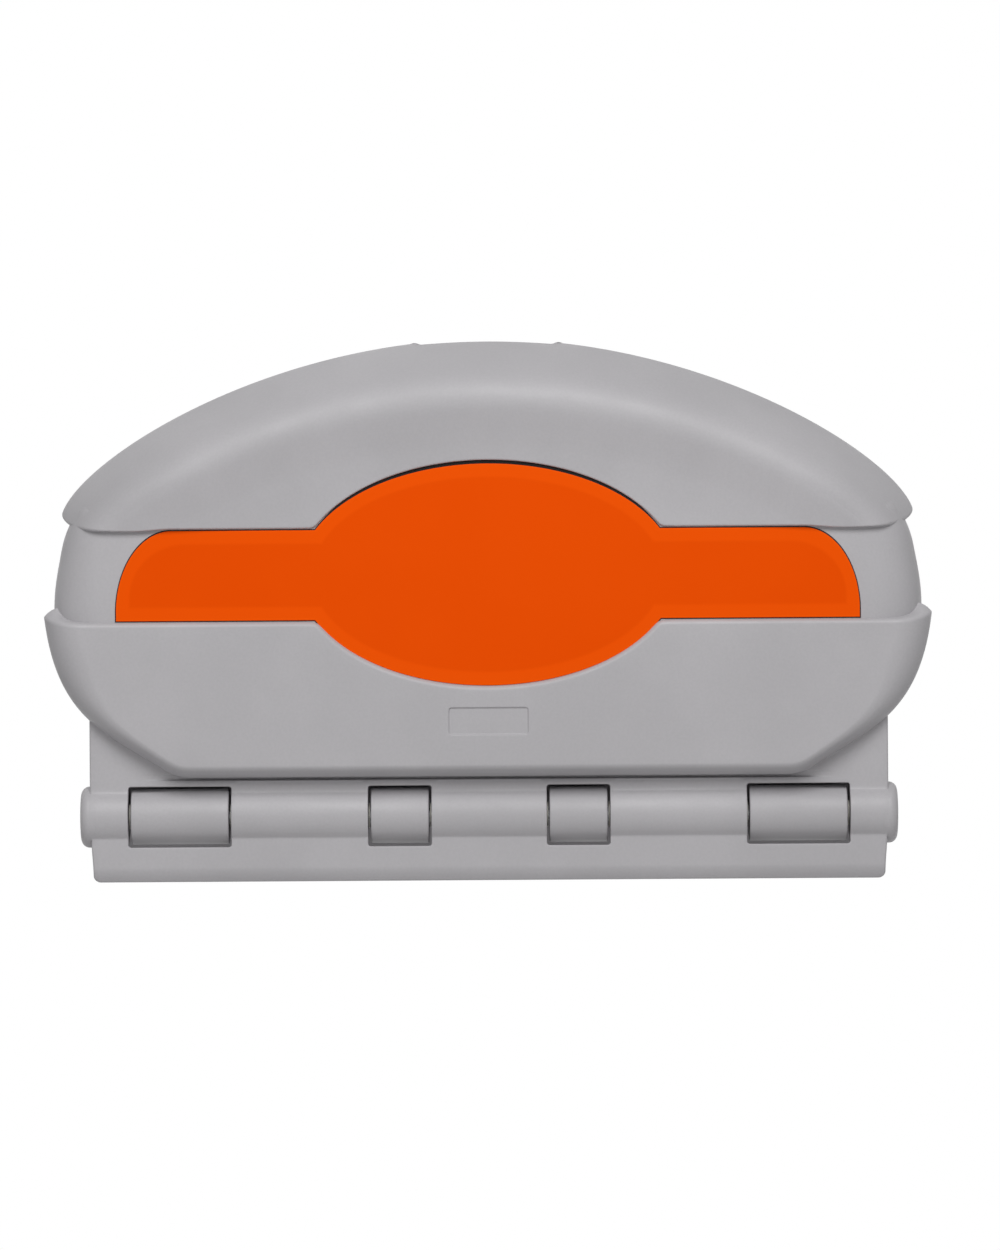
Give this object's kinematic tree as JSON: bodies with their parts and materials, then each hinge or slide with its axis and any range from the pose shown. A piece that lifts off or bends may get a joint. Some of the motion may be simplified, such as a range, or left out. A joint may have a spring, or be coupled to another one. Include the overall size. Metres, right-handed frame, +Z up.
{
  "type": "baby changing station",
  "caption": "Wall-mounted fold-down baby changing station: a moulded bed hinged along its foot to a wall housing with liner dispenser, strap and bag hooks.",
  "frame": {"origin": "centre of the back face on the wall, 210 mm above the bed's hinge axis", "axes": "+Z up the wall, +X to the right as the user sees it, +Y into the wall"},
  "size_m": [0.9188, 0.137, 0.5603],
  "materials": {
    "grey_shell": "moulded polyethylene, fine satin texture",
    "grey_trim": "moulded polyethylene, satin",
    "orange_panel": "printed panel, semi-gloss",
    "rubber": "matt",
    "nylon": "natural nylon",
    "webbing": "woven webbing",
    "dark_plastic": "satin",
    "zinc_steel": "zinc plated",
    "steel": "bright"
  },
  "bodies": {
    "wall_unit": {"mounting_frame": "zinc_steel", "wall_housing": "grey_shell", "liner_bin": "grey_trim", "hinge_knuckle_outer_left": "grey_shell", "hinge_knuckle_inner_left": "grey_shell", "hinge_knuckle_inner_right": "grey_shell", "hinge_knuckle_outer_right": "grey_shell", "knuckle_bolt_1": "steel", "knuckle_bolt_2": "steel", "knuckle_bolt_3": "steel", "knuckle_bolt_4": "steel", "knuckle_bolt_5": "steel", "knuckle_bolt_6": "steel", "wall_bolt_1": "steel", "wall_bolt_2": "steel", "wall_bolt_3": "steel", "wall_bolt_4": "steel", "bolt_cover_1": "grey_trim", "bolt_cover_2": "grey_trim", "bolt_cover_3": "grey_trim", "bolt_cover_4": "grey_trim", "hinge_rod": "steel", "gas_spring_crank": "steel", "bag_hook_left": "grey_trim", "bag_hook_right": "grey_trim", "closing_bumper_left": "rubber", "closing_bumper_right": "rubber", "open_stop_pad_left": "rubber", "open_stop_pad_right": "rubber", "flap_pin": "steel"},
    "bed": {"bed_outer_shell": "grey_shell", "bed_tray": "grey_shell", "front_label": "orange_panel", "bed_stiffener_bar_1": "zinc_steel", "bed_stiffener_bar_2": "zinc_steel", "barrel_end_cap_left": "grey_shell", "barrel_end_cap_right": "grey_shell", "hinge_bush_1": "nylon", "hinge_bush_2": "nylon", "hinge_bush_3": "nylon", "hinge_bush_4": "nylon", "hinge_bush_5": "nylon", "hinge_bush_6": "nylon", "hinge_bush_7": "nylon", "hinge_bush_8": "nylon", "strap_upper": "webbing", "strap_lower": "webbing", "strap_anchor_upper": "dark_plastic", "strap_anchor_lower": "dark_plastic", "anchor_screw_upper": "steel", "anchor_screw_lower": "steel", "buckle_frame": "zinc_steel", "gas_spring_bracket": "zinc_steel"},
    "refill_flap": {"refill_flap": "grey_trim"},
    "flap_lock": {"flap_lock": "dark_plastic"},
    "gas_cylinder": {"gas_spring_cylinder": "dark_plastic"},
    "gas_rod": {"gas_spring_rod": "steel"},
    "buckle_lever": {"buckle_lever": "zinc_steel"}
  },
  "joints": [
    {"name": "bed_hinge", "type": "hinge", "parent": "wall_unit", "child": "bed", "pos_m": [0, -0.08, -0.21], "axis": [1, 0, 0], "range_deg": [0, 90]},
    {"name": "refill_flap_hinge", "type": "hinge", "parent": "wall_unit", "child": "refill_flap", "pos_m": [0, -0.0301, 0.1442], "axis": [1, 0, 0], "range_deg": [0, 90]},
    {"name": "flap_lock_turn", "type": "hinge", "parent": "refill_flap", "child": "flap_lock", "pos_m": [0, -0.034, 0.178], "axis": [0, -1, 0], "range_deg": [0, 90]},
    {"name": "buckle_lever_hinge", "type": "hinge", "parent": "bed", "child": "buckle_lever", "pos_m": [0, -0.0904, 0.017], "axis": [1, 0, 0], "range_deg": [0, 40], "stiffness_Nm_per_rad": 0.2},
    {"name": "gas_cylinder_pivot", "type": "hinge", "parent": "bed", "child": "gas_cylinder", "pos_m": [0.39115, -0.072, -0.06], "axis": [1, 0, 0], "range_deg": [-2.75, 0]},
    {"name": "gas_rod_slide", "type": "slide", "parent": "gas_cylinder", "child": "gas_rod", "axis": [0, 0.0921, 0.9957], "range_m": [0, 0.01845]}
  ],
  "couplings": [
    {"joint": "gas_cylinder_pivot", "follows": "bed_hinge", "ratio": -0.030273},
    {"joint": "gas_rod_slide", "follows": "bed_hinge", "m_per_rad": 0.011719}
  ]
}
